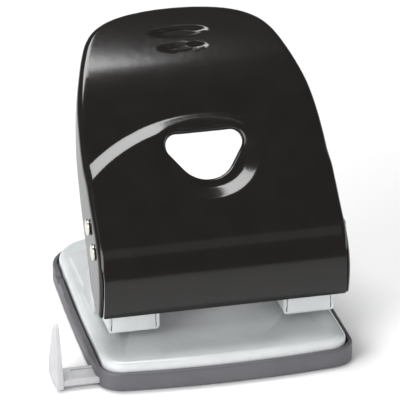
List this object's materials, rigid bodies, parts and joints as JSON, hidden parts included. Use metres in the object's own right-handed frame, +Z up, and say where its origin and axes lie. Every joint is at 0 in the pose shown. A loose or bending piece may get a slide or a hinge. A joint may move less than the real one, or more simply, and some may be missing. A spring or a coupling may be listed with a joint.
{
  "type": "hole punch",
  "caption": "Two-hole desk paper punch: pressed-steel lever handle with a finger hole, folded punch housings, steel base, chip tray and sliding paper guide.",
  "frame": {"origin": "the point of the tray's underside midway between the two holes in X and midway between the tray's front and rear edges in Y, on the surface the punch stands on", "axes": "+X to the user's right along the row of holes, +Y to the back away from the paper, +Z up"},
  "size_m": [0.1355, 0.138, 0.1299],
  "materials": {
    "black_paint": "gloss black enamel on pressed steel",
    "grey_paint": "gloss light grey enamel on pressed steel",
    "tray_plastic": "satin dark grey soft plastic",
    "guide_plastic": "translucent white moulded plastic",
    "bright_steel": "nickel-plated steel",
    "tool_steel": "ground hardened steel",
    "spring_steel": "oiled spring steel"
  },
  "bodies": {
    "tray": {"chip_tray": "tray_plastic"},
    "guide": {"paper_guide": "guide_plastic"},
    "base": {"base_plate": "grey_paint", "left_die_plate": "tool_steel", "right_die_plate": "tool_steel", "left_housing": "grey_paint", "right_housing": "grey_paint", "housing_rivets": "bright_steel", "left_pin_guide": "grey_paint", "right_pin_guide": "grey_paint", "left_spring": "spring_steel", "right_spring": "spring_steel", "pivot_axle": "bright_steel", "spacer_tube": "bright_steel", "pivot_washers": "bright_steel"},
    "handle": {"handle": "black_paint", "drive_rod": "bright_steel"},
    "left_punch": {"left_punch_pin": "tool_steel", "left_pin_clip": "spring_steel"},
    "right_punch": {"right_punch_pin": "tool_steel", "right_pin_clip": "spring_steel"}
  },
  "joints": [
    {"name": "guide_slide", "type": "slide", "parent": "tray", "child": "guide", "axis": [-1, 0, 0], "range_m": [-0.0145, 0.068]},
    {"name": "tray_hinge", "type": "hinge", "parent": "tray", "child": "base", "pos_m": [0, -0.0655, 0.0085], "axis": [1, 0, 0], "range_deg": [0, 35]},
    {"name": "handle_pivot", "type": "hinge", "parent": "base", "child": "handle", "pos_m": [0, -0.0385, 0.0556], "axis": [-1, 0, 0], "range_deg": [0, 45], "stiffness_Nm_per_rad": 0.4, "springref_deg": -57.3},
    {"name": "left_punch_slide", "type": "slide", "parent": "base", "child": "left_punch", "axis": [0, 0, -1], "range_m": [0, 0.0101], "deforming": ["left_spring"]},
    {"name": "right_punch_slide", "type": "slide", "parent": "base", "child": "right_punch", "axis": [0, 0, -1], "range_m": [0, 0.0101], "deforming": ["right_spring"]}
  ],
  "couplings": [
    {"joint": "left_punch_slide", "follows": "handle_pivot", "m_per_rad": 0.0128},
    {"joint": "right_punch_slide", "follows": "handle_pivot", "m_per_rad": 0.0128}
  ]
}
